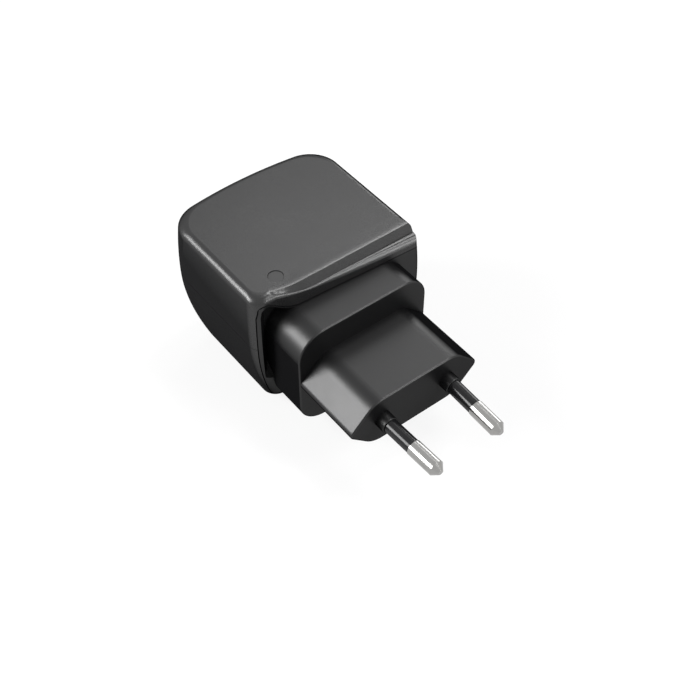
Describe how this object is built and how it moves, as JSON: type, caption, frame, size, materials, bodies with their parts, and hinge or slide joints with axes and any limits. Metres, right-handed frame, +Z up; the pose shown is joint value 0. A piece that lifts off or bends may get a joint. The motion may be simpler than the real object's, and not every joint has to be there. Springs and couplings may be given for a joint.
{
  "type": "usb wall charger",
  "caption": "USB wall charger with a rounded satin black body, a two-pin Europlug head that pulls off forwards, a round status light on top and a USB-A port at the back.",
  "frame": {"origin": "centre of the bounding box, at the height of the charger's flat underside", "axes": "+Z up out of the face with the status light, -Y along the plug pins towards the socket, +Y towards the USB port, +X to the right seen from the pins' side"},
  "size_m": [0.0458, 0.087, 0.0381],
  "materials": {
    "shell_plastic": "satin black moulded plastic",
    "head_plastic": "satin black moulded plastic",
    "cover_plastic": "black moulded plastic",
    "light_pipe_plastic": "smoked clear plastic",
    "led_plastic": "milky lamp body",
    "board_laminate": "green solder mask",
    "port_steel": "nickel-plated steel sheet",
    "port_insulator": "black moulding",
    "contact_gold": "gold-plated springs",
    "spring_bronze": "phosphor bronze strip",
    "ferrite": "dark grey ferrite",
    "bobbin_plastic": "dark phenolic",
    "coil_tape": "yellow polyester tape",
    "capacitor_can": "dark sleeve",
    "resistor_body": "flameproof coating",
    "coil_copper": "enamelled copper wire",
    "ceramic_blue": "epoxy dip",
    "package_epoxy": "moulded package",
    "pin_metal": "nickel-plated brass",
    "sleeve_plastic": "black insulating sleeve",
    "terminal_brass": "stamped brass strip"
  },
  "bodies": {
    "charger_body": {"upper_shell": "shell_plastic", "lower_shell": "shell_plastic", "light_pipe": "light_pipe_plastic", "status_led": "led_plastic", "circuit_board": "board_laminate", "usb_shell": "port_steel", "usb_tongue": "port_insulator", "usb_contacts": "contact_gold", "live_spring_contact": "spring_bronze", "neutral_spring_contact": "spring_bronze", "transformer_core": "ferrite", "transformer_bobbin": "bobbin_plastic", "transformer_winding": "coil_tape", "bulk_capacitor_1": "capacitor_can", "bulk_capacitor_2": "capacitor_can", "output_capacitor": "capacitor_can", "fusible_resistor": "resistor_body", "choke_core": "ferrite", "choke_winding": "coil_copper", "y_capacitor": "ceramic_blue", "bridge_rectifier": "package_epoxy", "controller_chip": "package_epoxy", "output_diode": "package_epoxy"},
    "plug_head": {"plug_housing": "head_plastic", "head_rear_cover": "cover_plastic", "live_pin": "pin_metal", "neutral_pin": "pin_metal", "live_sleeve": "sleeve_plastic", "neutral_sleeve": "sleeve_plastic", "live_terminal": "terminal_brass", "neutral_terminal": "terminal_brass"}
  },
  "joints": [
    {"name": "plug_head_slide", "type": "slide", "parent": "charger_body", "child": "plug_head", "axis": [0, -1, 0], "range_m": [0, 0.012]}
  ]
}
